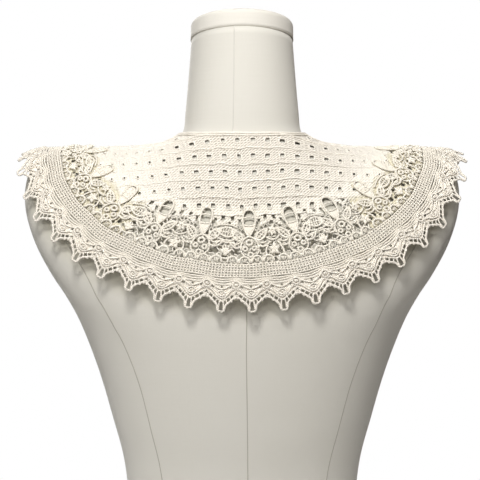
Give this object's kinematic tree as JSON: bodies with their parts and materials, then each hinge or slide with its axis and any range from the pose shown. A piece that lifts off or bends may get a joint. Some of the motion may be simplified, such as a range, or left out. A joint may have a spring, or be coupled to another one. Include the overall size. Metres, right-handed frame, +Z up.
{
  "type": "lace collar on a dress form",
  "caption": "Round crocheted lace cape collar with a pointed hem, worn over the shoulders of a limbless cloth-covered dress form that stands on its flat base.",
  "frame": {"origin": "centre of the dress form's flat base", "axes": "+Z up; the form's front faces -Y and its back, which the collar's closed side covers, faces +Y; +X to the form's own left"},
  "size_m": [0.4394, 0.2574, 0.6821],
  "materials": {
    "yoke_lace": "matte ecru cotton crochet with small square openings",
    "flower_lace": "matte ecru cotton crochet of raised flowers, rings and leaves",
    "beading_lace": "matte ecru cotton crochet of ridged rows with tiny holes",
    "border_lace": "matte ecru cotton crochet points with picot tips",
    "form_cover": "matte off-white fine woven cotton cover with sewn seams",
    "cap_cover": "matte off-white fine woven cotton over a rounded disc"
  },
  "bodies": {
    "root": {"collar_yoke": "yoke_lace", "collar_flower_band": "flower_lace", "collar_beading": "beading_lace", "collar_pointed_border": "border_lace", "form_body": "form_cover", "neck_cap": "cap_cover"}
  },
  "joints": []
}
